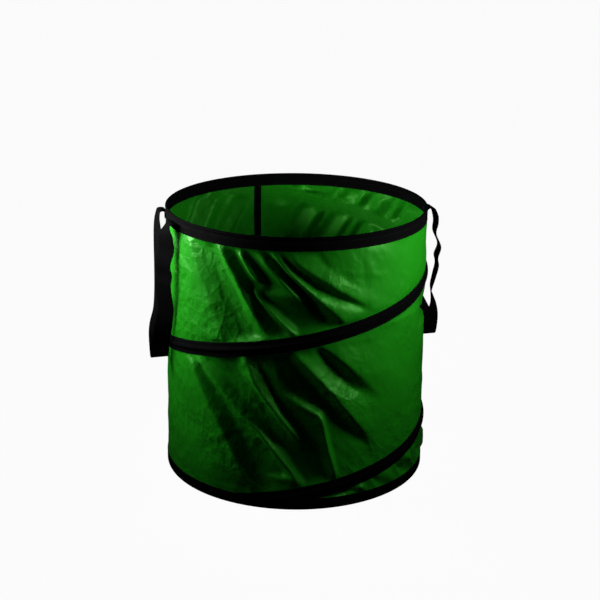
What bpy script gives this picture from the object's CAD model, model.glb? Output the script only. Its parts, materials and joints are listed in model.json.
"""Looks of the pop-up leaf bag: creased green fabric, black woven tape with stitching, webbing handles.

Metres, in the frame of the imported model. Angles named turn are degrees about +Z from +X; angles named round
are degrees from the side of the bag that faces the camera, counted the same way, to the right in the
picture.
"""

import json
import math

import bmesh
import bpy
import numpy as np
from mathutils import Matrix, Vector


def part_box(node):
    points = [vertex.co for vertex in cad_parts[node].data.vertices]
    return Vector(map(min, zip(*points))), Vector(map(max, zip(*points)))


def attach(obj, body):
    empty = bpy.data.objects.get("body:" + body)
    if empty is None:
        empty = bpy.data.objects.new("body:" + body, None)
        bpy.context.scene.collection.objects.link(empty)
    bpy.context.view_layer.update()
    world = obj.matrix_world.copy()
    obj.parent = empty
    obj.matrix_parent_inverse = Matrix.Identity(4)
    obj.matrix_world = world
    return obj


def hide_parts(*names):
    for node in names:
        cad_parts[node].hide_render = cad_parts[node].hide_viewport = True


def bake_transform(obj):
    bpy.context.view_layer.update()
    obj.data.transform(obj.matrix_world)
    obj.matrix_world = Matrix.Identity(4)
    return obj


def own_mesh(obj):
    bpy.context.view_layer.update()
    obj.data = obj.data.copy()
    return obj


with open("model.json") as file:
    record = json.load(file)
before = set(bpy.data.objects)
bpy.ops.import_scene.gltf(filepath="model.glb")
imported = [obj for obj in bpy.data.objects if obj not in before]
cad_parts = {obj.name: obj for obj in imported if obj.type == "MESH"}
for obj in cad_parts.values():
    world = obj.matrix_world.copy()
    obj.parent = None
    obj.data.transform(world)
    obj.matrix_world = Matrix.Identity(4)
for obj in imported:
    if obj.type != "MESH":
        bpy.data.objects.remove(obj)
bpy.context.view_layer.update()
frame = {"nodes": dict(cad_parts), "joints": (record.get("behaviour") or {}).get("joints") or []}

MM = 0.001

# Taken from the frame
PANEL_LOW, PANEL_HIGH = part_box("side_panel")
TOP_LOW, TOP_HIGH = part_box("top_binding")
PANEL_RADIUS = PANEL_HIGH.x
RIM_RADIUS = TOP_HIGH.x
BAG_HEIGHT = TOP_HIGH.z
RIM_TAPE_BOTTOM = TOP_LOW.z
FOOT_TAPE_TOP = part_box("bottom_binding")[1].z
FLANGE_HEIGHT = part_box("base_panel")[1].z
JOINTS = {joint["name"]: joint for joint in frame["joints"]}
HINGE = Vector(JOINTS["right_handle_swing"]["pos_m"])

# Sizes that the pieces share with the solids they stand for
CLOTH_THICKNESS = 0.5 * MM
TAPE_THICKNESS = 0.8 * MM
GAP = 0.3 * MM
BEAD_RADIUS = 3.25 * MM
BEAD_NECK = 3.0 * MM
CHANNEL_RADIUS = 2.45 * MM
WEBBING_THICKNESS = 1.6 * MM
WEBBING_WIDTH = 38 * MM
HANDLE_SPACING = 110 * MM
SPIRAL_HEIGHT = 452.7 * MM
SPIRAL_PITCH = 325 * MM
SPIRAL_TAPE_WIDTH = 30 * MM
SPIRAL_FROM_TURN = -498
SPIRAL_TO_TURN = 126
FRONT_TURN = -106
SEAM_TURN = 93
SEAM_TAPE_WIDTH = 16 * MM
# How far the rim's and the spiral's tapes waver, in how many waves, and how far apart
RIM_WAVER = 0.18 * MM
RIM_WAVES = 90
SPIRAL_WAVER = 0.35 * MM
SPIRAL_WAVE = 40 * MM
# The base lies flat near its corner, and swells loosely further in
BASE_FLAT = 30 * MM
BASE_FADE = 50 * MM
BASE_SWELL = 1.6 * MM
# The side panel's mesh: columns within those degrees of the front, columns round the rest, and rows; and the
# even grid that its folds are worked out on
FINE_DEGREES = 100
FINE_COLUMNS = 500
COARSE_COLUMNS = 178
WALL_ROWS = 145
EVEN_COLUMNS = 900
EVEN_ROWS = 300
# Stitches: their size and spacing, and how far the rows lie from a binding's edge, from the rim's neck or the
# spiral tape's edge, from the floor, and from the middle of the wire's channel
STITCH_LENGTH = 3.0 * MM
STITCH_THICKNESS = 0.55 * MM
STITCH_SPACING = 4.1 * MM
HEM_ROW = 2.6 * MM
EDGE_ROW = 2.2 * MM
FOOT_ROW = 7.5 * MM
CHANNEL_ROW = 4.6 * MM
# The box of stitches on a handle's end: how far in from the sides and up from the end it lies, and its
# stitches' length and spacing
BOX_INSET = 3.2 * MM
BOX_LOW = 1.6 * MM
BOX_HIGH = 11.0 * MM
BOX_STITCH_LENGTH = 2.6 * MM
BOX_STITCH_SPACING = 3.3 * MM
FOOT_TAPE_INSIDE = 16 * MM
WIRE_RADIUS = 1.5 * MM
WIRE_TURNS = (-462, 96)
CAP_RADIUS = 2.1 * MM
CAP_TURNS = {"upper": (94.8, 96.7), "lower": (-462.7, -460.8)}

AROUND = math.tau * PANEL_RADIUS
SEWN_RADIUS = PANEL_RADIUS + GAP
TAPE_FACE_RADIUS = SEWN_RADIUS + TAPE_THICKNESS
INNER_TAPE_FACE_RADIUS = PANEL_RADIUS - CLOTH_THICKNESS - GAP - TAPE_THICKNESS
HOOP_RADIUS = RIM_RADIUS - BEAD_RADIUS
HOOP_HEIGHT = BAG_HEIGHT - BEAD_RADIUS
WALL_LOW = FOOT_TAPE_TOP - 0.4 * MM
WALL_HIGH = RIM_TAPE_BOTTOM + 0.4 * MM
RIM_TAPE_NECK = HOOP_HEIGHT - BEAD_RADIUS - BEAD_NECK
SPIRAL_WIRE_RADIUS = PANEL_RADIUS + CHANNEL_RADIUS

# Folds of the side panel. Each line runs down the cloth, as (height in mm, degrees round from the front,
# units out of the round). Between two lines the cloth is straight, so crests and valleys alternate.
FOLDS_ABOVE_SPIRAL = (
    ((545, -92, 0), (300, -88, 0)),
    ((545, -76, 1), (480, -74, 0), (400, -70, 1), (300, -64, 0)),
    ((545, -62, -1), (480, -59, 1), (400, -54, 0), (300, -48, 1)),
    ((545, -50, 1), (500, -46, 2), (460, -42, 2), (400, -36, 2), (330, -29, 2)),
    ((545, -42, -2), (530, -40, -3), (450, -31.5, -5), (397, -26, -6), (340, -19, -4)),
    ((545, -38, -2), (483, -30, -4), (450, -26, -5), (397, -21, -5), (340, -14, -4)),
    ((545, -33, 2), (483, -25, 4), (450, -21, 4.5), (417, -17.3, 3), (385, -14, -1), (340, -8, -3)),
    ((545, -29.5, -4), (533, -27, -5), (468, -18.5, -6)),
    ((449, -18.5, -6), (412, -11.5, -6), (376, -4, -5), (350, 0, -4)),
    ((464, -19, -6), (454, -17.2, -1), (440, -14, 3), (412, -8, 4.5), (376, 0, 4), (350, 4, 1)),
    ((450, -13.3, -6), (412, -5.5, -6), (376, 2.5, -5), (350, 7, -3)),
    ((545, -25, -3), (526, -21.8, 2.5), (500, -17.9, 4), (484, -15.5, 2), (474, -13.8, -4)),
    ((545, -22, -4), (526, -19.5, -5), (500, -15.5, -6), (470, -10.5, -6)),
    ((545, -16, -3), (510, -10.5, 2), (485, -5.5, 3.5), (456, 0.5, 3), (430, 5, -3), (400, 10, -5)),
    ((545, -13, -4), (521, -8, -7), (466, 1, -8), (433, 7, -8), (402, 12, -7), (370, 17, -4)),
    ((545, -11, -1), (533, -8.5, 2), (500, -2.5, 4.5), (474, 3.5, 5), (433, 12.5, 5), (399, 20, 3.5),
     (375, 24, 1.5)),
    ((545, -6, -1), (511, -1.5, -3.5), (469, 9, -5), (445, 19, -4), (430, 26.5, -1), (415, 31, 0.5),
     (380, 33, 1)),
    ((545, -3, 1), (523, 0, 2), (500, 6.5, 3.5), (477, 14, 4), (450, 22.5, 3.5), (428, 29.5, 2),
     (406, 35, 1), (380, 38, 1)),
    ((545, 9, -2), (511, 13, -1), (470, 26, 1), (426, 38, 1), (390, 44, 1)),
    ((545, 31, 1), (500, 31, 1), (470, 34, 0), (430, 42, 0), (390, 52, 1)),
    ((545, 50, 0), (430, 56, 1), (390, 62, 1)),
    ((545, 72, 0), (430, 76, 1)),
    ((545, 95, 0), (440, 97, 0)),
)
FOLDS_BELOW_SPIRAL = (
    ((300, -92, 0), (30, -88, 0)),
    ((300, -76, 1), (230, -74, -1), (120, -68, 1), (30, -62, 0)),
    ((290, -62, -1), (230, -60, 1), (150, -52, -1), (60, -44, 1)),
    ((292, -50.5, 1), (277, -48, 3), (230, -41, 4.5), (188, -33.8, 6), (140, -28, 6), (81, -21.4, 5),
     (40, -17, 1)),
    ((290, -48.5, 0), (270, -44.5, -3), (225, -37, -7), (185, -30, -8), (140, -24, -8), (81, -17, -7),
     (40, -11, -2)),
    ((270, -43.5, -3), (225, -33, -8), (165, -19, -9), (120, -11.5, -8), (83, -5, -5)),
    ((300, -46, 1), (286, -43, 3), (225, -28.3, 5), (165, -14, 5), (120, -7, 4.5), (83, -1, 3), (40, 5, 1)),
    ((300, -40, -1), (279, -34, -4), (240, -26, -6), (201, -18, -7), (165, -10.5, -7), (126, -4, -7),
     (78, 2.2, -5), (40, 8, -2)),
    ((310, -26, -3), (279, -24, -5), (237, -15.5, -6), (201, -10.5, -7), (170, -4.5, -7), (130, 2, -6),
     (85, 7, -4), (40, 12, -2)),
    ((322, -23, 1), (302, -19, 3), (265, -16, 4), (237, -12, 4), (205, -6.8, 4), (170, -1.2, 3),
     (150, 2, -2), (130, 4, -6)),
    ((322, -17, -3), (299, -15, -5), (250, -9.5, -6), (211, -4.5, -7), (175, 1.5, -8), (154, 5, -8),
     (130, 9, -7), (95, 13, -4), (30, 18, 0)),
    ((325, -10, -3), (250, -5.5, -2), (240, -2, 0), (224, 3.5, 3), (210, 9.5, 5), (200, 11.3, 6),
     (131, 14, 5.5), (83, 17, 4), (30, 20, 1)),
    ((328, -8, -4), (252, 0, -5), (225, 8, -4), (212, 11.5, -1), (200, 13, -2), (131, 16, -3),
     (83, 18.5, -1), (30, 22, 0)),
    ((331, -5, -3), (300, 1, -6), (262, 8, -8), (215, 16, -7), (175, 23, -5), (140, 29, -2), (120, 32, 0)),
    ((335, 0, 1), (318, 3, 4), (252, 15, 6), (203, 22.5, 6), (168, 28.5, 4.5), (130, 34, 1), (90, 37, 0)),
    ((345, 9, -2), (339, 10.5, -3), (310, 15.5, -5), (278, 20.5, -5), (250, 26, -3), (228, 32, 0),
     (180, 35, 2), (90, 41, 0)),
    ((346, 12, 1), (339, 14, 2), (314, 20, 4), (282, 27, 4), (250, 34, 2), (220, 39, 1), (90, 47, 0)),
    ((360, 46, 0), (300, 49, 0), (240, 53, 1), (90, 60, 0)),
    ((370, 62, 1), (240, 68, 0), (90, 74, 1)),
    ((380, 95, 0), (120, 97, 0)),
)
FOLD_UNIT = 2.4 * MM
# A line carries on that many mm past its ends, and keeps that many degrees off the spiral's passes
LINE_OVERRUN = 12
LINE_MARGIN = 3
# Folds that the picture doesn't show, of the same kind: where they lie on the strip, their spacing and lean
# in degrees, their depth in units, and what follows each valley, as shares of the spacing
UNSEEN_DEGREES = ((-735, -458), (-258, -100), (103, 216))
FOLD_SPACING = 17
FOLD_LEAN = 42
FOLD_DEPTH_UNITS = 8
CREST_SHARE = 0.42
MINOR_SHARE = 0.62
BESIDE_SHARE = 0.76
# Small creases: their path as (height in mm, degrees round), then in mm how far out they stand and half
# their width
CREASES_ABOVE_SPIRAL = (
    (((534, -24), (503, -18), (469, -12)), 1.0, 7),
    (((460, -17), (422, -9), (378, -0.5)), 1.3, 6),
    (((511, 6), (503, 18), (482, 40)), 0.8, 9),
    (((426, 31), (406, 34)), -0.8, 5),
    (((505, 29), (476, 30), (450, 29)), -1.2, 16),
)
CREASES_BELOW_SPIRAL = (
    (((308, -31), (267, -19)), 1.0, 5),
    (((236, -73), (214, -62)), 0.7, 6),
    (((305, 46), (262, 46)), -0.8, 14),
)
# Blurs of the folds, in cells of the even grid (round, up), and how far the sharper crests are taken down
VALLEY_BLUR = (1.4, 1.2)
CREST_BLUR = (0.8, 0.8)
LAST_BLUR = (0.7, 0.6)
CREST_DROP = 0.3 * MM
# Small wrinkles: how many go round the bag, how far out they stand in mm, and their seed
WRINKLES = ((60, 0.9, 3), (130, 0.45, 4), (260, 0.22, 6))
WRINKLE_SLANT = 0.55
WRINKLE_STRETCH = 0.6
# The cloth is drawn in between two tapes by a share of their distance, up to a limit
DRAWN_IN_SHARE = 0.004
DRAWN_IN_MOST = 1.0 * MM
# Folds fade over that distance from a tape, and down to that share over those degrees from the side seam
TAPE_FADE = 16 * MM
SEAM_SHARE = 0.12
SEAM_FLAT_DEGREES = 2.5
SEAM_FADE_DEGREES = 11


def smooth_step(x):
    """0 below 0, 1 above 1, and smooth between."""
    x = np.clip(x, 0, 1)
    return x * x * (3 - 2 * x)


def spiral_middle(turn):
    """Height of the middle of the spiral tape, where turn counts on past a full turn."""
    return SPIRAL_HEIGHT + SPIRAL_PITCH * turn / 360


def value_noise(across, up, cell, seed, repeat):
    """Smooth noise from -1 to 1 on a lattice of that cell size, which repeats after repeat cells across."""
    lattice = np.random.default_rng(seed).uniform(-1, 1, (repeat, 512))
    x = across / cell
    y = up / cell + 64
    column = np.floor(x).astype(int)
    row = np.floor(y).astype(int)
    fx = smooth_step(x - column)
    fy = smooth_step(y - row)
    left = column % repeat
    right = (column + 1) % repeat
    low = lattice[left, row % 512] * (1 - fx) + lattice[right, row % 512] * fx
    high = lattice[left, (row + 1) % 512] * (1 - fx) + lattice[right, (row + 1) % 512] * fx
    return low * (1 - fy) + high * fy


def blurred(field, cells_round, cells_up):
    """Field (rows up, columns round) with a Gaussian blur; it repeats round the bag."""
    for cells, mode in ((cells_round, "wrap"), (cells_up, "edge")):
        field = field.T
        reach = math.ceil(2.5 * cells)
        weights = np.exp(-0.5 * (np.arange(-reach, reach + 1) / cells) ** 2)
        weights /= weights.sum()
        padded = np.pad(field, ((reach, reach), (0, 0)), mode=mode)
        field = sum(weight * padded[shift:shift + len(field)] for shift, weight in enumerate(weights))
    return field


def unseen_folds():
    """Fold lines for the cloth that the picture doesn't show: even valleys, each with a crest beside it."""
    lines = []
    half = SPIRAL_PITCH / 2
    for start, end in UNSEEN_DEGREES:
        for i in range(int((end - start) / FOLD_SPACING)):
            valley = start + FOLD_SPACING * (i + 0.2 * math.sin(2.4 * i))
            depth = FOLD_DEPTH_UNITS * (0.6 + 0.2 * math.cos(2.4 * i))
            crest = valley + FOLD_SPACING * CREST_SHARE
            minor = valley + FOLD_SPACING * (MINOR_SHARE + 0.05 * math.sin(1.7 * i))
            beside = valley + FOLD_SPACING * (BESIDE_SHARE + 0.05 * math.cos(1.7 * i))
            for place, out_share in ((valley, -1), (crest, 0.7), (minor, -0.15), (beside, 0.2)):
                out = out_share * depth
                middle = spiral_middle(place + FRONT_TURN) + half
                bow = 1.2 * math.sin(0.9 * i + place)
                lines.append(tuple(
                    ((middle + up * half) / MM, place - FOLD_LEAN / 2 * up + bow * (1 - up * up), out)
                    for up in (1, 0.5, 0, -0.5, -1)
                ))
    return lines


def moved(lines, by):
    """Fold lines moved round by so many degrees."""
    return [tuple((height, place + by, out) for height, place, out in line) for line in lines]


def fold_lines():
    """All fold lines along the strip of cloth between the spiral's turns, counted as one long turn."""
    return [*moved(FOLDS_BELOW_SPIRAL, -360), *FOLDS_ABOVE_SPIRAL, *unseen_folds()]


def line_at(line, height):
    """(degrees round, out) of a line at a height, or None beyond its ends."""
    heights = [p[0] for p in reversed(line)]
    if not heights[0] - LINE_OVERRUN <= height <= heights[-1] + LINE_OVERRUN:
        return None
    places = [p[1] for p in reversed(line)]
    outs = [p[2] for p in reversed(line)]
    return float(np.interp(height, heights, places)), float(np.interp(height, heights, outs))


def strip_place(turn, height):
    """Degrees round along the whole spiral, for the pass that lies less than a pitch below the point."""
    round_front = turn - FRONT_TURN
    above = height - spiral_middle(turn)
    return round_front + 360 * np.floor(above / SPIRAL_PITCH)


def folds(turns, heights):
    """How far the cloth stands out of the round, over a grid of turns (degrees) and heights."""
    lines = fold_lines()
    field = np.zeros((len(heights), len(turns)))
    for row, height in enumerate(heights):
        places = strip_place(turns, height)
        nodes = sorted(filter(None, (line_at(line, height / MM) for line in lines)))
        last = (height - SPIRAL_HEIGHT) / SPIRAL_PITCH * 360 - FRONT_TURN
        first = last - 360
        nodes = [n for n in nodes if first + LINE_MARGIN < n[0] < last - LINE_MARGIN]
        nodes = [(first, 0), *nodes, (last, 0)]
        field[row] = np.interp(places, [n[0] for n in nodes], [n[1] * FOLD_UNIT for n in nodes])
    return field


def creases(turns, heights):
    """Small creases that lie on the folds."""
    grid_round, grid_up = np.meshgrid(turns - FRONT_TURN, heights)
    grid_round = (grid_round + 180) % 360 - 180
    above = grid_up > spiral_middle(grid_round + FRONT_TURN)
    degree = math.radians(1) * PANEL_RADIUS
    field = np.zeros_like(grid_round)
    for table, side in ((CREASES_ABOVE_SPIRAL, above), (CREASES_BELOW_SPIRAL, ~above)):
        for path, out, half_width in table:
            best = np.full_like(field, 1e9)
            for (z0, r0), (z1, r1) in zip(path, path[1:]):
                ax, ay = r0 * degree, z0 * MM
                bx, by = r1 * degree, z1 * MM
                px, py = grid_round * degree - ax, grid_up - ay
                dx, dy = bx - ax, by - ay
                share = np.clip((px * dx + py * dy) / (dx * dx + dy * dy), 0, 1)
                best = np.minimum(best, np.hypot(px - share * dx, py - share * dy))
            field += np.where(side, out * MM * np.clip(1 - best / (half_width * MM), 0, 1), 0)
    return field


def to_supports(turns, heights):
    """Distance from each point of the cloth to the nearest tape, and the height of the window it lies in."""
    grid_turn, grid_up = np.meshgrid(turns, heights)
    above = (grid_up - spiral_middle(grid_turn)) % SPIRAL_PITCH
    half = SPIRAL_TAPE_WIDTH / 2
    down = np.minimum(above - half, grid_up - FOOT_TAPE_TOP)
    up = np.minimum(SPIRAL_PITCH - above - half, RIM_TAPE_BOTTOM - grid_up)
    down = np.maximum(down, 0)
    up = np.maximum(up, 0)
    return np.minimum(down, up), down, up


def panel_offset(turns, heights):
    """How far the side panel's cloth stands out of its round, in metres; below 0 where it is drawn in."""
    near, down, up = to_supports(turns, heights)
    span = np.maximum(down + up, MM)
    drawn_in = 4 * down * up / span ** 2 * np.minimum(span * DRAWN_IN_SHARE, DRAWN_IN_MOST)
    field = folds(turns, heights)
    field = np.maximum(blurred(field, *VALLEY_BLUR), blurred(field, *CREST_BLUR) - CREST_DROP)
    field = blurred(field + creases(turns, heights), *LAST_BLUR)
    grid_turn, grid_up = np.meshgrid(turns, heights)
    across = np.radians(grid_turn % 360) * PANEL_RADIUS
    along = across + grid_up * WRINKLE_SLANT
    for cell_count, out, seed in WRINKLES:
        cell = AROUND / cell_count
        field += out * MM * value_noise(along, grid_up * WRINKLE_STRETCH, cell, seed, cell_count)
    hold = np.clip(near / TAPE_FADE, 0, 1)
    hold = hold * (2 - hold)
    from_seam = np.abs((grid_turn - SEAM_TURN + 180) % 360 - 180)
    free = smooth_step((from_seam - SEAM_FLAT_DEGREES) / SEAM_FADE_DEGREES)
    hold *= SEAM_SHARE + (1 - SEAM_SHARE) * free
    return field * hold - drawn_in


def mesh_piece(name, points, faces, material):
    """New smooth object from an array of points and a list of faces, with its normals out."""
    mesh = bpy.data.meshes.new(name)
    mesh.from_pydata(points.reshape(-1, 3).tolist(), [], faces)
    shape = bmesh.new()
    shape.from_mesh(mesh)
    bmesh.ops.recalc_face_normals(shape, faces=shape.faces)
    shape.to_mesh(mesh)
    shape.free()
    mesh.shade_smooth()
    piece = bpy.data.objects.new(name, mesh)
    bpy.context.scene.collection.objects.link(piece)
    mesh.materials.append(material)
    return piece


def grid_faces(rows, columns, wrap_rows=False, wrap_columns=True):
    """Quads over a grid of points stored row by row."""
    r = np.arange(rows if wrap_rows else rows - 1)
    c = np.arange(columns if wrap_columns else columns - 1)
    rr, cc = np.meshgrid(r, c, indexing="ij")
    next_row = (rr + 1) % rows
    next_column = (cc + 1) % columns
    quads = np.stack([rr * columns + cc, rr * columns + next_column,
                      next_row * columns + next_column, next_row * columns + cc], -1)
    return quads.reshape(-1, 4).tolist()


def closed_faces(rows, columns):
    """Quads round a tube of points stored row by row, and a face that closes each end."""
    last_row = [(rows - 1) * columns + c for c in reversed(range(columns))]
    return [*grid_faces(rows, columns), list(range(columns)), last_row]


def round_points(radius, turns, height):
    """Points round the bag's axis: columns at those turns, and rows of radius and height."""
    angle = np.radians(turns)[None, :]
    return np.stack(np.broadcast_arrays(radius * np.cos(angle), radius * np.sin(angle), height), -1)


def unit(vectors):
    """An array's vectors at a length of 1."""
    return vectors / np.linalg.norm(vectors, axis=-1, keepdims=True)


def length_along(points):
    """How far each point of a line lies from its start, along the line."""
    return np.cumsum(np.r_[0, np.linalg.norm(np.diff(points, axis=0), axis=1)])


def cloth_place(piece, across, up):
    """Stores on each point its place on the flat cloth in metres, for the weave: across and up."""
    attribute = piece.data.attributes.new("cloth", "FLOAT_VECTOR", "POINT")
    across, up = np.broadcast_arrays(across, up)
    flat = np.stack([np.ravel(across), np.ravel(up), np.zeros(np.size(up))], -1)
    attribute.data.foreach_set("vector", flat.astype(np.float32).ravel())


def round_band(name, profile, turns, ripple, material):
    """Closed band round the bag, from a section of (radius, height) and a ripple over the turns."""
    radius = profile[:, :1] + ripple
    points = round_points(radius, turns, profile[:, 1:])
    piece = mesh_piece(name, points, grid_faces(*radius.shape, True, True), material)
    cloth_place(piece, np.radians(turns) * PANEL_RADIUS, length_along(profile)[:, None])
    return piece


def node_tools(tree):
    """A helper that adds a node to the tree and sets its values, and one that links two sockets."""
    def add(kind, **values):
        node = tree.nodes.new(kind)
        for key, value in values.items():
            if key in node.inputs:
                node.inputs[key].default_value = value
            else:
                setattr(node, key, value)
        return node

    return add, tree.links.new


def node_material(name):
    """Material with a Principled shader, and the helpers for its nodes."""
    material = bpy.data.materials.new(name)
    material.use_nodes = True
    return material, material.node_tree.nodes["Principled BSDF"], *node_tools(material.node_tree)


def mapped(add, link, source, low, high, start=0.0, end=1.0):
    """Output that goes from low to high while its source goes from start to end."""
    node = add("ShaderNodeMapRange", **{"From Min": start, "From Max": end, "To Min": low, "To Max": high})
    link(source, node.inputs["Value"])
    return node.outputs[0]


def body_noise(add, link, **values):
    """Output of a noise over the piece's own coordinates."""
    body = add("ShaderNodeTexCoord")
    noise = add("ShaderNodeTexNoise", **values)
    link(body.outputs["Object"], noise.inputs["Vector"])
    return noise.outputs["Fac"]


def two_shades(add, link, shader, share, first, second):
    """Base colour between two linear RGB colours."""
    shade = add("ShaderNodeMixRGB")
    shade.inputs[1].default_value = (*first, 1)
    shade.inputs[2].default_value = (*second, 1)
    link(share, shade.inputs[0])
    link(shade.outputs[0], shader.inputs["Base Color"])


def weave_bump(add, link, across, up, strength, depth):
    """Normal of a plain weave with threads that far apart, from the place on the cloth."""
    place = add("ShaderNodeAttribute", attribute_name="cloth")
    split = add("ShaderNodeSeparateXYZ")
    link(place.outputs["Vector"], split.inputs[0])
    waves = []
    for axis, pitch in (("X", across), ("Y", up)):
        scaled = add("ShaderNodeMath", operation="MULTIPLY")
        scaled.inputs[1].default_value = math.pi / pitch
        link(split.outputs[axis], scaled.inputs[0])
        wave = add("ShaderNodeMath", operation="SINE")
        link(scaled.outputs[0], wave.inputs[0])
        waves.append(wave)
    product = add("ShaderNodeMath", operation="MULTIPLY")
    link(waves[0].outputs[0], product.inputs[0])
    link(waves[1].outputs[0], product.inputs[1])
    bump = add("ShaderNodeBump", Strength=strength, Distance=depth)
    link(product.outputs[0], bump.inputs["Height"])
    return bump.outputs[0]


def fabric_material():
    """Green coated polyester: a satin gloss, a fine plain weave, and small crinkles."""
    material, shader, add, link = node_material("green_fabric")
    tone = body_noise(add, link, Scale=9.0, Detail=4.0, Roughness=0.6)
    two_shades(add, link, shader, tone, (0.0055, 0.178, 0.0030), (0.0105, 0.232, 0.0065))
    link(mapped(add, link, tone, 0.38, 0.48), shader.inputs["Roughness"])
    shader.inputs["Specular IOR Level"].default_value = 0.35
    shader.inputs["Specular Tint"].default_value = (0.22, 1.0, 0.14, 1)
    normal = weave_bump(add, link, 0.45 * MM, 0.45 * MM, 0.25, 0.05 * MM)
    crumpled = mapped(add, link, body_noise(add, link, Scale=7.0, Detail=1.0), 0.15, 1.0, 0.42, 0.62)
    body = add("ShaderNodeTexCoord")
    for scale, depth in ((15.0, 7.0 * MM), (38.0, 3.2 * MM), (90.0, 0.8 * MM)):
        facets = add("ShaderNodeTexVoronoi", feature="DISTANCE_TO_EDGE", Scale=scale)
        link(body.outputs["Object"], facets.inputs["Vector"])
        bump = add("ShaderNodeBump", Distance=depth)
        bump.invert = True
        link(crumpled, bump.inputs["Strength"])
        link(facets.outputs["Distance"], bump.inputs["Height"])
        link(normal, bump.inputs["Normal"])
        normal = bump.outputs[0]
    link(normal, shader.inputs["Normal"])
    return material


def tape_material(name, colour, across, up, roughness):
    """Black woven tape, webbing or thread, with ribs of that spacing."""
    material, shader, add, link = node_material(name)
    wear = body_noise(add, link, Scale=40.0, Detail=3.0)
    two_shades(add, link, shader, wear, [0.7 * c for c in colour], [1.5 * c for c in colour])
    link(mapped(add, link, wear, roughness - 0.06, roughness + 0.06), shader.inputs["Roughness"])
    shader.inputs["IOR"].default_value = 1.08
    link(weave_bump(add, link, across, up, 0.6, 0.15 * MM), shader.inputs["Normal"])
    return material


def metal_material():
    """Drawn spring wire."""
    material, shader, add, link = node_material("spring_wire")
    marks = body_noise(add, link, Scale=300.0, Detail=2.0)
    link(mapped(add, link, marks, 0.25, 0.45), shader.inputs["Roughness"])
    shader.inputs["Base Color"].default_value = (0.45, 0.45, 0.46, 1)
    shader.inputs["Metallic"].default_value = 1
    return material


FABRIC = fabric_material()
TAPE = tape_material("black_tape", (0.0016, 0.0016, 0.0019), 0.9 * MM, 0.5 * MM, 0.85)
WEBBING = tape_material("black_webbing", (0.0014, 0.0014, 0.0017), 1.1 * MM, 1.6 * MM, 0.85)
THREAD = tape_material("black_thread", (0.010, 0.010, 0.011), 0.3 * MM, 0.3 * MM, 0.55)
VINYL = tape_material("cap_vinyl", (0.045, 0.045, 0.045), 1.5 * MM, 1.5 * MM, 0.45)
METAL = metal_material()


# The fold field is worked out once, on an even grid, so that its blur is even
EVEN_TURNS = FRONT_TURN - FINE_DEGREES + np.arange(EVEN_COLUMNS) * (360 / EVEN_COLUMNS)
EVEN_HEIGHTS = np.linspace(PANEL_LOW.z, PANEL_HIGH.z, EVEN_ROWS)
OFFSET = panel_offset(EVEN_TURNS, EVEN_HEIGHTS)


def cloth_out(turns, heights):
    """How far the cloth stands out of its round, over a grid of other turns and heights."""
    column = ((turns - EVEN_TURNS[0]) % 360) / (EVEN_TURNS[1] - EVEN_TURNS[0])
    row = (heights - EVEN_HEIGHTS[0]) / (EVEN_HEIGHTS[1] - EVEN_HEIGHTS[0])
    row = np.clip(row, 0, len(EVEN_HEIGHTS) - 1.001)
    c0 = np.floor(column).astype(int) % len(EVEN_TURNS)
    c1 = (c0 + 1) % len(EVEN_TURNS)
    r0 = np.floor(row).astype(int)
    fc = (column - np.floor(column))[None, :]
    fr = (row - r0)[:, None]
    low = OFFSET[r0][:, c0] * (1 - fc) + OFFSET[r0][:, c1] * fc
    high = OFFSET[r0 + 1][:, c0] * (1 - fc) + OFFSET[r0 + 1][:, c1] * fc
    return low * (1 - fr) + high * fr


def cloth_band(name, turns, heights):
    """Band of the side panel's cloth over those turns and heights, as one sheet."""
    radius = PANEL_RADIUS - CLOTH_THICKNESS / 2 + cloth_out(turns, heights)
    points = round_points(radius, turns, heights[:, None])
    piece = mesh_piece(name, points, grid_faces(*radius.shape), FABRIC)
    cloth_place(piece, np.radians(turns) * PANEL_RADIUS, heights[:, None])
    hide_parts("side_panel")
    return piece


def side_panel():
    """The fabric tube: its folded wall, finer where it faces the camera, and the edges that are sewn into
    the bindings and stay with them."""
    front = np.linspace(-FINE_DEGREES, FINE_DEGREES, FINE_COLUMNS, endpoint=False)
    back = np.linspace(FINE_DEGREES, 360 - FINE_DEGREES, COARSE_COLUMNS, endpoint=False)
    turns = np.concatenate([front, back]) + FRONT_TURN
    wall = cloth_band("side_panel_cloth", turns, np.linspace(WALL_LOW, WALL_HIGH, WALL_ROWS))
    even = np.arange(0, 360, 1.0)
    low_edge = cloth_band("side_panel_lower_edge", even, np.linspace(PANEL_LOW.z, WALL_LOW, 6))
    high_edge = cloth_band("side_panel_upper_edge", even, np.linspace(WALL_HIGH, PANEL_HIGH.z, 6))
    folds_with_rim(wall)
    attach(low_edge, "base")
    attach(high_edge, "top_rim")


def arc_points(radius, height, bend, from_degrees, to_degrees, steps):
    """Points (radius, height) round a centre."""
    angles = np.radians(np.linspace(from_degrees, to_degrees, steps))
    return [(radius + bend * math.cos(a), height + bend * math.sin(a)) for a in angles]


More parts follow.
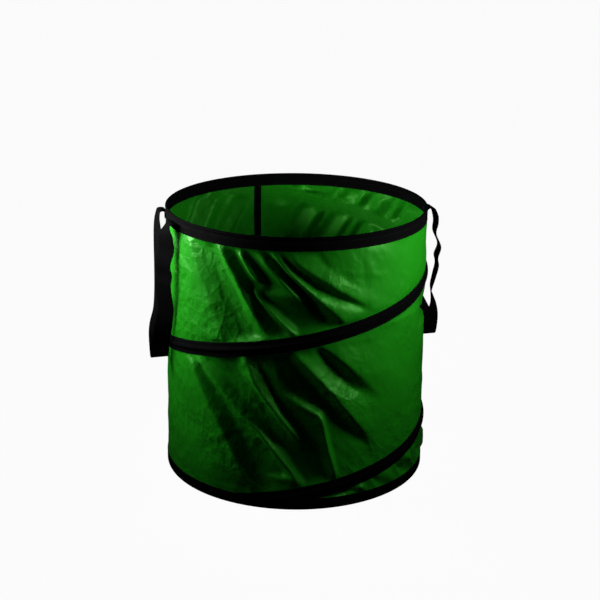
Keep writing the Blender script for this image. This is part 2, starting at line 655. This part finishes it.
def top_tape():
    """Tape folded over the rim: a leaf inside, a bead round the hoop and a leaf outside."""
    inner = PANEL_RADIUS - CLOTH_THICKNESS - GAP
    outer = SEWN_RADIUS
    low = RIM_TAPE_BOTTOM
    outside = [
        (outer, low), (outer + TAPE_THICKNESS * 0.8, low),
        *((TAPE_FACE_RADIUS, low + rise * MM) for rise in (0.6, 6, 12)), (TAPE_FACE_RADIUS, RIM_TAPE_NECK),
    ]
    bead = arc_points(HOOP_RADIUS, HOOP_HEIGHT, BEAD_RADIUS, -120, 190, 22)
    inside = [
        (INNER_TAPE_FACE_RADIUS, RIM_TAPE_NECK),
        *((INNER_TAPE_FACE_RADIUS, low + rise * MM) for rise in (12, 0.6)),
        (inner - TAPE_THICKNESS * 0.8, low), (inner, low),
    ]
    channel = arc_points(HOOP_RADIUS, HOOP_HEIGHT, CHANNEL_RADIUS, 190, -120, 16)
    hollow = [(inner, RIM_TAPE_NECK), *channel, (outer, RIM_TAPE_NECK)]
    profile = np.array([*outside, *bead, *inside, *hollow])
    turns = np.arange(360) * 1.0
    waver = value_noise(np.radians(turns) * PANEL_RADIUS, np.zeros(360), AROUND / RIM_WAVES, 21, RIM_WAVES)
    return round_band("top_binding_tape", profile, turns, RIM_WAVER * waver, TAPE)


def foot_tape():
    """Tape round the bottom corner: a leaf outside, round the hoop, and a leaf under the base."""
    centre = TAPE_FACE_RADIUS - BEAD_RADIUS
    outer = SEWN_RADIUS
    end = PANEL_RADIUS - FOOT_TAPE_INSIDE
    outside = [(outer, FOOT_TAPE_TOP), (outer + 0.8 * TAPE_THICKNESS, FOOT_TAPE_TOP),
               (TAPE_FACE_RADIUS, FOOT_TAPE_TOP - 0.6 * MM), (TAPE_FACE_RADIUS, FOOT_TAPE_TOP / 2)]
    corner = arc_points(centre, BEAD_RADIUS, BEAD_RADIUS, 0, -90, 9)
    under = [(end + 0.5 * MM, 0), (end, TAPE_THICKNESS / 2), (end + 0.5 * MM, TAPE_THICKNESS)]
    back = arc_points(centre, BEAD_RADIUS, CHANNEL_RADIUS, -90, 0, 9)
    profile = np.array([*outside, *corner, *under, *back, (outer, FOOT_TAPE_TOP / 2)])
    turns = np.arange(360) * 1.0
    return round_band("bottom_binding_tape", profile, turns, np.zeros(360), TAPE)


def spiral_tape():
    """Tape sewn round the panel in a spiral, with the wire's channel, cut off at the bindings."""
    half = SPIRAL_TAPE_WIDTH / 2
    outer = SEWN_RADIUS
    face = TAPE_FACE_RADIUS
    bend = CHANNEL_RADIUS + TAPE_THICKNESS
    reach = math.degrees(math.acos((face - SPIRAL_WIRE_RADIUS) / bend))
    hollow_reach = math.degrees(math.acos((outer - SPIRAL_WIRE_RADIUS) / CHANNEL_RADIUS))
    channel = arc_points(SPIRAL_WIRE_RADIUS, 0, bend, -reach, reach, 13)
    hollow = arc_points(SPIRAL_WIRE_RADIUS, 0, CHANNEL_RADIUS, hollow_reach, -hollow_reach, 9)
    profile = np.array([
        (outer, -half), (face - 0.2 * MM, -half), (face, -half + 0.5 * MM), (face, -half * 0.55), *channel,
        (face, half * 0.55), (face, half - 0.5 * MM), (face - 0.2 * MM, half), (outer, half), *hollow,
    ])
    turns = np.arange(SPIRAL_FROM_TURN, SPIRAL_TO_TURN + 0.1, 1.5)
    across = np.radians(turns) * PANEL_RADIUS
    waver = SPIRAL_WAVER * value_noise(across + 10, np.zeros(len(turns)), SPIRAL_WAVE, 31, 400)
    points = round_points(profile[:, :1], turns, profile[:, 1:] + spiral_middle(turns) + waver)
    rows, columns = points.shape[:2]
    faces = grid_faces(rows, columns, True, False)
    faces.append([r * columns for r in range(rows)])
    faces.append([r * columns + columns - 1 for r in reversed(range(rows))])
    piece = mesh_piece("spiral_tape", points, faces, TAPE)
    cloth_place(piece, across, length_along(profile)[:, None])
    shape = bmesh.new()
    shape.from_mesh(piece.data)
    for height, outward in ((FOOT_TAPE_TOP + GAP, -1), (RIM_TAPE_BOTTOM - GAP, 1)):
        geometry = [*shape.verts, *shape.edges, *shape.faces]
        bmesh.ops.bisect_plane(shape, geom=geometry, plane_co=(0, 0, height), plane_no=(0, 0, outward),
                               clear_outer=True)
        bmesh.ops.holes_fill(shape, edges=[e for e in shape.edges if e.is_boundary])
    shape.to_mesh(piece.data)
    shape.free()
    return piece


def base_face(bend, flange, low):
    """Profile of one face of the base, from its middle, over the bottom hoop, up to the flange's edge."""
    centre = TAPE_FACE_RADIUS - BEAD_RADIUS
    under = 180 + math.degrees(math.asin((BEAD_RADIUS - low) / bend))
    over = math.degrees(math.acos((flange - centre) / bend))
    corner = arc_points(centre, BEAD_RADIUS, bend, under, over, 7)
    radii = np.linspace(3 * MM, corner[0][0] - 1 * MM, 62)
    return [*((r, low) for r in radii), *corner, (flange, FLANGE_HEIGHT / 2), (flange, FLANGE_HEIGHT)]


def base_cloth():
    """The round base and its turned-up edge, a little uneven where the cloth lies loose."""
    flange = PANEL_RADIUS - CLOTH_THICKNESS - GAP
    low = TAPE_THICKNESS + GAP
    inner = base_face(CHANNEL_RADIUS + CLOTH_THICKNESS, flange - CLOTH_THICKNESS, low + CLOTH_THICKNESS)
    outer = base_face(CHANNEL_RADIUS, flange, low)
    profile = np.array([*inner, *reversed(outer)])
    points = round_points(profile[:, :1], np.arange(0, 360, 2.0), profile[:, 1:])
    x, y = points[..., 0], points[..., 1]
    loose = smooth_step((TAPE_FACE_RADIUS - BASE_FLAT - np.hypot(x, y)) / BASE_FADE)
    swell = value_noise(x + 0.4 * y, y, 70 * MM, 41, 64) + 0.5 * value_noise(x - y, y, 27 * MM, 42, 64)
    points[..., 2] += loose * BASE_SWELL * np.clip(swell + 0.3, 0, 1.5)
    piece = mesh_piece("base_cloth", points, closed_faces(*x.shape), FABRIC)
    cloth_place(piece, x, y)
    return piece


def seam_tape():
    """Tape over the side seam, inside at the rear, which follows the cloth."""
    low, high = FLANGE_HEIGHT + GAP, RIM_TAPE_BOTTOM - GAP
    half = math.degrees(SEAM_TAPE_WIDTH / 2 / PANEL_RADIUS)
    turns = SEAM_TURN + np.linspace(-half, half, 7)
    heights = np.linspace(low, high, 150)
    outer = PANEL_RADIUS - CLOTH_THICKNESS - GAP + cloth_out(turns, heights)
    outer = np.minimum(outer, np.minimum(np.roll(outer, 1, axis=1), np.roll(outer, -1, axis=1)) + 0.1 * MM)
    inner = (outer - TAPE_THICKNESS)[:, ::-1]
    points = round_points(np.hstack([outer, inner]), np.r_[turns, turns[::-1]], heights[:, None])
    piece = mesh_piece("side_seam_tape", points, closed_faces(*points.shape[:2]), TAPE)
    piece.data.set_sharp_from_angle(angle=math.radians(40))
    cloth_place(piece, np.degrees(np.arctan2(points[..., 1], points[..., 0])) * 4.8 * MM, points[..., 2])
    return piece


def tube(name, path, radius, material, sides=10):
    """Round rod along an array of points, with flat ends."""
    along = unit(np.gradient(path, axis=0))
    side = unit(np.cross(along, (0, 0, 1)))
    up = np.cross(side, along)
    rings = []
    for k in range(sides):
        turn = math.tau * k / sides
        rings.append(path + radius * (side * math.cos(turn) + up * math.sin(turn)))
    piece = mesh_piece(name, np.stack(rings, 1), closed_faces(len(path), sides), material)
    piece.data.set_sharp_from_angle(angle=math.radians(50))
    return piece


def spiral_path(start, end, step=2.0):
    """Points of the spiral wire's middle line."""
    turns = np.linspace(start, end, max(3, round((end - start) / step)))
    return round_points(np.array([[SPIRAL_WIRE_RADIUS]]), turns, spiral_middle(turns))[0]


def through(points, steps):
    """Smooth line through rows of numbers."""
    ends = np.array([points[0], *points, points[-1]], float)
    line = []
    for i in range(len(points) - 1):
        p0, p1, p2, p3 = ends[i:i + 4]
        for t in np.arange(steps) / steps:
            line.append(0.5 * (2 * p1 + (p2 - p0) * t + (2 * p0 - 5 * p1 + 4 * p2 - p3) * t ** 2
                               + (3 * p1 - p0 - 3 * p2 + p3) * t ** 3))
    line.append(ends[-1])
    return np.array(line)


# A handle's loop, from the front hinge point down and back up to the rear one: shares of its drop, of its
# reach, of half the spacing of its ends, and of a quarter turn
FRONT_STRAND = (
    (0.0, 0.0, -1.0, 1.0), (0.05, 0.36, -1.0, 1.0), (0.11, 0.46, -1.0, 0.95), (0.18, 0.33, -1.0, 0.9),
    (0.28, 1.0, -0.98, 0.9), (0.36, 0.7, -0.94, 0.92), (0.43, 0.88, -0.89, 0.9), (0.52, 0.62, -0.83, 0.88),
    (0.61, 0.36, -0.77, 0.82), (0.7, 0.6, -0.69, 0.66), (0.78, 0.8, -0.55, 0.4), (0.86, 0.9, -0.37, 0.12),
    (0.935, 0.94, -0.21, 0.0), (0.985, 0.92, -0.12, 0.0),
)
LOOP_BOTTOM = (1.0, 0.9, 0.0, 0.0)
REAR_STRAND = (
    (0.0, 0.0, 1.0, 1.0), (0.05, 0.2, 1.0, 0.95), (0.13, 0.2, 1.0, 0.86), (0.25, 0.17, 0.96, 0.82),
    (0.42, 0.18, 0.9, 0.82), (0.58, 0.26, 0.8, 0.8), (0.7, 0.46, 0.7, 0.74), (0.78, 0.7, 0.57, 0.46),
    (0.86, 0.88, 0.38, 0.14), (0.935, 0.94, 0.22, 0.0), (0.985, 0.92, 0.12, 0.0),
)
HANDLE_DROP = 306 * MM
# How much of the height that the lowered rim leaves above the floor a squashed loop takes up
# The left loop hangs closer to the bag, and its front strand is twisted less
FRONT_TWIST = {-1: 0.56, 1: 1.0}
TWIST_FADE = 0.1
HANDLE_REACH = {-1: 12 * MM, 1: 18.5 * MM}
TAB_LINE_RADIUS = TAPE_FACE_RADIUS + GAP + WEBBING_THICKNESS / 2
TAB_BOTTOM = RIM_TAPE_BOTTOM + 1 * MM
TAB_TOP = TAB_BOTTOM + 16.5 * MM
LIP_HEIGHT = TAB_TOP - 3.2 * MM
LOOP_START_X = HINGE.x + 0.6 * MM
ROWS_PER_SHARE = 9
ROOT_ROWS = 9


def strap_mesh(name, middles, acrosses, side):
    """Webbing along a line; acrosses holds the vectors over its width, and side is -1 to mirror it."""
    along = unit(np.gradient(middles, axis=0))
    acrosses = unit(acrosses - along * np.sum(along * acrosses, axis=1, keepdims=True))
    out = np.cross(acrosses, along)
    half, thick = WEBBING_WIDTH / 2, WEBBING_THICKNESS / 2
    shares = np.array([-1, -0.985, -0.93, -0.7, -0.4, 0, 0.4, 0.7, 0.93, 0.985, 1])
    depth = np.array([0.45, 0.85, 1, 1, 1, 1, 1, 1, 1, 0.85, 0.45])
    section = [(s, d) for s, d in zip(shares, depth)] + [(s, -d) for s, d in zip(shares[::-1], depth[::-1])]
    points = np.stack([middles + acrosses * s * half + out * (d * thick) for s, d in section], 1)
    points[..., 0] *= side
    piece = mesh_piece(name, points, closed_faces(*points.shape[:2]), WEBBING)
    piece.data.set_sharp_from_angle(angle=math.radians(50))
    cloth_place(piece, np.array([s for s, _ in section]) * half, length_along(middles)[:, None])
    return piece


def loop_line(side):
    """Middle line of a handle's loop as if on the right, and the directions over its width."""
    line = through([*FRONT_STRAND, LOOP_BOTTOM, *reversed(REAR_STRAND)], ROWS_PER_SHARE)
    middles = np.stack([LOOP_START_X + line[:, 1] * HANDLE_REACH[side], line[:, 2] * HANDLE_SPACING / 2,
                        LIP_HEIGHT - line[:, 0] * HANDLE_DROP], -1)
    front = np.arange(len(line)) < len(FRONT_STRAND) * ROWS_PER_SHARE
    front = smooth_step(line[:, 0] / TWIST_FADE) * front
    turn = line[:, 3] * (1 + (FRONT_TWIST[side] - 1) * front) * math.pi / 2
    acrosses = np.stack([np.cos(turn), np.sin(turn), np.zeros(len(turn))], -1)
    return middles, acrosses


def handle_loop(side_name, side):
    """The hanging loop, which starts a little below its hinge line, and folds up as the rim comes down."""
    middles, acrosses = (part[ROOT_ROWS:-ROOT_ROWS] for part in loop_line(side))
    piece = strap_mesh(f"{side_name}_handle_strap", middles, acrosses, side)
    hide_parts(f"{side_name}_handle_loop")
    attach(piece, f"{side_name}_handle")
    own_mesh(piece)


def handle_root(side_name, side, end_name, end):
    """Sewn end of the webbing, the arch over to the hinge line, and the loop's first stretch."""
    stretch = slice(ROOT_ROWS + 1) if end < 0 else slice(None, -ROOT_ROWS - 2, -1)
    middles, acrosses = (part[stretch] for part in loop_line(side))
    middle_turn = math.asin(HANDLE_SPACING / 2 / TAB_LINE_RADIUS)
    plate_x = TAB_LINE_RADIUS * math.cos(middle_turn)
    gap_x = middles[0, 0] - plate_x
    path = through([
        (0, TAB_BOTTOM, 0), (0, TAB_BOTTOM + 5 * MM, 0), (0, TAB_BOTTOM + 9.5 * MM, 0.02),
        (0.09, TAB_TOP - 3.0 * MM, 0.15), (0.30, TAB_TOP - 0.9 * MM, 0.4), (0.55, TAB_TOP - 0.4 * MM, 0.7),
        (0.82, TAB_TOP - 1.2 * MM, 0.95), (1, LIP_HEIGHT, 1),
    ], 5)
    shares = np.linspace(-1, 1, 11)
    half_turn = WEBBING_WIDTH / 2 / TAB_LINE_RADIUS
    rows = []
    for out_share, z, straight in path:
        row = []
        for share in shares:
            turn = end * middle_turn + share * half_turn
            on_ring = np.array([TAB_LINE_RADIUS * math.cos(turn), TAB_LINE_RADIUS * math.sin(turn)])
            flat = np.array([plate_x, end * HANDLE_SPACING / 2 + share * WEBBING_WIDTH / 2])
            spot = on_ring * (1 - straight) + flat * straight
            row.append((spot[0] + out_share * gap_x, spot[1], z))
        rows.append(row)
    for middle, across in zip(middles[1:], acrosses[1:]):
        if across[1] < 0:
            across = -across
        rows.append([tuple(middle + across * share * WEBBING_WIDTH / 2) for share in shares])
    piece = plate_mesh(f"{side_name}_handle_{end_name}_root", np.array(rows), side)
    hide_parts(f"{side_name}_handle_{end_name}_tab")
    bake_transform(piece)


def plate_mesh(name, rows, side):
    """Webbing over a grid of points, as thick as it is, with softened edges."""
    along = np.gradient(rows, axis=0)
    across = np.gradient(rows, axis=1)
    out = unit(np.cross(across, along))
    count = rows.shape[1]
    depth = np.ones(count)
    depth[0] = depth[-1] = 0.45
    shift = out * (depth * WEBBING_THICKNESS / 2)[None, :, None]
    points = np.concatenate([rows + shift, (rows - shift)[:, ::-1]], axis=1)
    points[..., 0] *= side
    piece = mesh_piece(name, points, closed_faces(*points.shape[:2]), WEBBING)
    piece.data.set_sharp_from_angle(angle=math.radians(50))
    place = np.linspace(-1, 1, count) * WEBBING_WIDTH / 2
    cloth_place(piece, np.r_[place, place[::-1]], length_along(rows[:, count // 2])[:, None])
    return piece


def box_stitches(side, end):
    """Places of the stitches in a box with a cross, on a sewn end, and where they come through inside."""
    middle_turn = end * math.asin(HANDLE_SPACING / 2 / TAB_LINE_RADIUS)
    half_width = WEBBING_WIDTH / 2 - BOX_INSET
    low, high = TAB_BOTTOM + BOX_LOW, TAB_BOTTOM + BOX_HIGH
    corners = [(-half_width, low), (half_width, low), (half_width, high), (-half_width, high)]
    lines = [*zip(corners, corners[1:] + corners[:1]), (corners[0], corners[2]), (corners[1], corners[3])]
    outer_radius = TAB_LINE_RADIUS + WEBBING_THICKNESS / 2
    places = []
    for (x0, z0), (x1, z1) in lines:
        length = math.hypot(x1 - x0, z1 - z0)
        count = max(2, round(length / BOX_STITCH_SPACING))
        for i in range(count):
            share = (i + 0.5) / count
            x, z = x0 + (x1 - x0) * share, z0 + (z1 - z0) * share
            for radius, outward in ((outer_radius, 1), (INNER_TAPE_FACE_RADIUS, -1)):
                turn = middle_turn + x / TAB_LINE_RADIUS
                out = np.array([side * math.cos(turn), math.sin(turn), 0.0])
                tangent = np.array([-side * math.sin(turn), math.cos(turn), 0.0])
                spot = out * radius + np.array([0, 0, z])
                along = tangent * (x1 - x0) + np.array([0, 0, z1 - z0])
                places.append((spot, along, out * outward))
    return places


def threads(name, places, length=STITCH_LENGTH):
    """Stitches: one short thick-waisted capsule at each (middle, along, out)."""
    stations = ((-0.5, 0.25), (-0.38, 0.8), (0.0, 1.0), (0.38, 0.8), (0.5, 0.25))
    sides = 6
    middles, along, out = (np.array(part) for part in zip(*places))
    along = unit(along)
    side = unit(np.cross(along, out))
    out = np.cross(side, along)
    rings = []
    for share, girth in stations:
        for k in range(sides):
            turn = math.tau * k / sides
            round_it = side * math.cos(turn) + out * 0.7 * math.sin(turn)
            rings.append(middles + along * share * length + round_it * girth * STITCH_THICKNESS / 2)
    count = len(rings)
    one = closed_faces(len(stations), sides)
    faces = [[v + i * count for v in face] for i in range(len(places)) for face in one]
    piece = mesh_piece(name, np.stack(rings, 1), faces, THREAD)
    cloth_place(piece, 0.0, np.arange(count * len(places)) * 0.1 * MM)
    return piece


def stitch_place(radius, angle, height, rise, outward):
    """Place of one stitch round the bag, along a row that climbs by the rise in a radian."""
    out = np.array([math.cos(angle), math.sin(angle), 0.0])
    along = np.array([-out[1] * radius, out[0] * radius, rise])
    return out * radius + np.array([0, 0, height]), along, out * outward


def ring_stitches(radius, height, outward=1):
    """Places of a row of stitches round the bag."""
    count = round(math.tau * radius / STITCH_SPACING)
    return [stitch_place(radius, math.tau * i / count, height, 0.0, outward) for i in range(count)]


def spiral_stitches(radius, offset, outward):
    """Places of a row of stitches along the spiral tape, offset up or down from its middle."""
    rise = SPIRAL_PITCH / math.tau
    step = math.degrees(STITCH_SPACING / math.hypot(radius, rise))
    places = []
    for turn in np.arange(SPIRAL_FROM_TURN, SPIRAL_TO_TURN, step):
        height = spiral_middle(turn) + offset
        if FOOT_TAPE_TOP + 2 * MM < height < RIM_TAPE_BOTTOM - 2 * MM:
            places.append(stitch_place(radius, math.radians(turn), height, rise, outward))
    return places


def folds_with_rim(piece):
    """Rides the piece on the base, and flattens it between the bindings as the rim comes down."""
    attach(piece, "base")
    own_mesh(piece)


rim_tape = top_tape()
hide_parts("top_binding")
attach(rim_tape, "top_rim")

bottom_tape = foot_tape()
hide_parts("bottom_binding")
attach(bottom_tape, "base")

side_panel()

wound_tape = spiral_tape()
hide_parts("spiral_sleeve")
folds_with_rim(wound_tape)

floor_panel = base_cloth()
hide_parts("base_panel")
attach(floor_panel, "base")

rear_tape = seam_tape()
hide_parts("side_seam_binding")
folds_with_rim(rear_tape)

spring = tube("spiral_spring_wire", spiral_path(*WIRE_TURNS), WIRE_RADIUS, METAL)
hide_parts("spiral_wire")
folds_with_rim(spring)
for cap_name, cap_turns in CAP_TURNS.items():
    cap = tube(f"spring_{cap_name}_cap", spiral_path(*cap_turns, 0.3), CAP_RADIUS, VINYL)
    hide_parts(f"spiral_wire_{cap_name}_cap")
    folds_with_rim(cap)

for side_name, side in (("left", -1), ("right", 1)):
    handle_loop(side_name, side)
    for end_name, end in (("front", -1), ("rear", 1)):
        handle_root(side_name, side, end_name, end)
        box = threads(f"{side_name}_handle_{end_name}_box_stitches", box_stitches(side, end),
                      BOX_STITCH_LENGTH)
        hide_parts(f"{side_name}_handle_{end_name}_stitching")
        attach(box, "top_rim")

rim_rows = [
    place for radius, outward in ((TAPE_FACE_RADIUS, 1), (INNER_TAPE_FACE_RADIUS, -1))
    for height in (RIM_TAPE_BOTTOM + HEM_ROW, RIM_TAPE_NECK - EDGE_ROW)
    for place in ring_stitches(radius, height, outward)
]
rim_thread = threads("rim_stitches", rim_rows)
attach(rim_thread, "top_rim")

foot_rows = [
    *ring_stitches(TAPE_FACE_RADIUS, FOOT_TAPE_TOP - HEM_ROW),
    *ring_stitches(TAPE_FACE_RADIUS, FOOT_ROW),
    *ring_stitches(PANEL_RADIUS - CLOTH_THICKNESS, FOOT_TAPE_TOP - HEM_ROW, -1),
]
foot_thread = threads("foot_stitches", foot_rows)
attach(foot_thread, "base")

edge_row = SPIRAL_TAPE_WIDTH / 2 - EDGE_ROW
for name, radius, outward in (("spiral_tape_stitches", TAPE_FACE_RADIUS, 1),
                              ("spiral_tape_inside_stitches", PANEL_RADIUS - CLOTH_THICKNESS, -1)):
    spiral_thread = threads(name, [
        place for offset in (-edge_row, -CHANNEL_ROW, CHANNEL_ROW, edge_row)
        for place in spiral_stitches(radius, offset, outward)
    ])
    folds_with_rim(spiral_thread)

# Solids that no piece replaces: the hoops and their ferrules
for thing in frame["nodes"].values():
    if not thing.hide_render:
        thing.data.materials.clear()
        thing.data.materials.append(METAL)


def camera():
    """Camera of the photograph: where it stood, and how its frame was cut."""
    distance = 2.987
    height = 1.3335
    pitch = math.radians(12.745)
    azimuth = math.radians(-16)
    roll = math.radians(0.6)
    focal_pixels = 1443
    frame_pixels = 600
    middle_x, middle_y = 297, 164.5
    data = bpy.data.cameras.new("camera")
    data.sensor_width = 36
    data.lens = focal_pixels / frame_pixels * data.sensor_width
    data.shift_x = (frame_pixels / 2 - middle_x) / frame_pixels
    data.shift_y = -(frame_pixels / 2 - middle_y) / frame_pixels
    thing = bpy.data.objects.new("camera", data)
    bpy.context.scene.collection.objects.link(thing)
    place = Matrix.Translation((math.sin(azimuth) * distance, -math.cos(azimuth) * distance, height))
    aim = Matrix.Rotation(azimuth, 4, "Z") @ Matrix.Rotation(math.pi / 2 - pitch, 4, "X")
    thing.matrix_world = place @ aim @ Matrix.Rotation(roll, 4, "Z")
    bpy.context.scene.camera = thing


def soft_light(name, azimuth, distance, height, size, power, aim, spread):
    """Soft lamp, at an azimuth from the camera's side of the bag, to the right in the picture. It is aimed
    at a height on the bag's axis."""
    data = bpy.data.lights.new(name, "AREA")
    data.shape = "RECTANGLE"
    data.size, data.size_y = size
    data.energy = power
    data.spread = math.radians(spread)
    lamp = bpy.data.objects.new(name, data)
    bpy.context.scene.collection.objects.link(lamp)
    angle = math.radians(FRONT_TURN + azimuth)
    lamp.location = (distance * math.cos(angle), distance * math.sin(angle), height)
    towards = Vector((0, 0, aim)) - lamp.location
    lamp.rotation_euler = towards.to_track_quat("-Z", "Y").to_euler()


def studio():
    """White surroundings, a pale floor that keeps the bag's shadow, and lamps at both sides and above."""
    world = bpy.data.worlds.new("studio")
    bpy.context.scene.world = world
    world.use_nodes = True
    add, link = node_tools(world.node_tree)
    background = world.node_tree.nodes["Background"]
    background.inputs["Color"].default_value = (1, 1, 1, 1)
    rays = add("ShaderNodeLightPath")
    seen = add("ShaderNodeMath", operation="MAXIMUM")
    link(rays.outputs["Is Camera Ray"], seen.inputs[0])
    link(rays.outputs["Is Transmission Ray"], seen.inputs[1])
    link(mapped(add, link, seen.outputs[0], 0.005, 1.0), background.inputs["Strength"])
    floor_mesh = bpy.data.meshes.new("floor")
    shape = bmesh.new()
    bmesh.ops.create_circle(shape, cap_ends=True, radius=60, segments=64)
    shape.to_mesh(floor_mesh)
    shape.free()
    floor = bpy.data.objects.new("floor", floor_mesh)
    bpy.context.scene.collection.objects.link(floor)
    floor.location.z = -0.2 * MM
    pale = bpy.data.materials.new("floor")
    pale.use_nodes = True
    nodes = pale.node_tree.nodes
    nodes.remove(nodes["Principled BSDF"])
    add, link = node_tools(pale.node_tree)
    diffuse = add("ShaderNodeBsdfDiffuse", Color=(0.04, 0.04, 0.04, 1))
    glow = add("ShaderNodeEmission")
    rays = add("ShaderNodeLightPath")
    share = add("ShaderNodeMath", operation="MULTIPLY")
    share.inputs[1].default_value = 0.96
    link(rays.outputs["Is Camera Ray"], share.inputs[0])
    link(share.outputs[0], glow.inputs["Strength"])
    both = add("ShaderNodeAddShader")
    link(diffuse.outputs[0], both.inputs[0])
    link(glow.outputs[0], both.inputs[1])
    link(both.outputs[0], nodes["Material Output"].inputs["Surface"])
    floor_mesh.materials.append(pale)
    # Azimuth, distance, height, size, power, height aimed at, and spread in degrees
    soft_light("left_lamp", -84, 0.72, 0.68, (0.3, 0.3), 4.1, 0.62, 116)
    soft_light("front_left_lamp", -66, 0.75, 0.68, (0.25, 0.25), 0.9, 0.62, 130)
    soft_light("right_lamp", 64, 0.75, 0.68, (0.3, 0.3), 2.6, 0.62, 130)
    soft_light("top_lamp", 180, 0.5, 2.2, (1.6, 1.2), 3, 0.3, 180)


camera()
studio()
bpy.context.scene.view_settings.view_transform = "Standard"
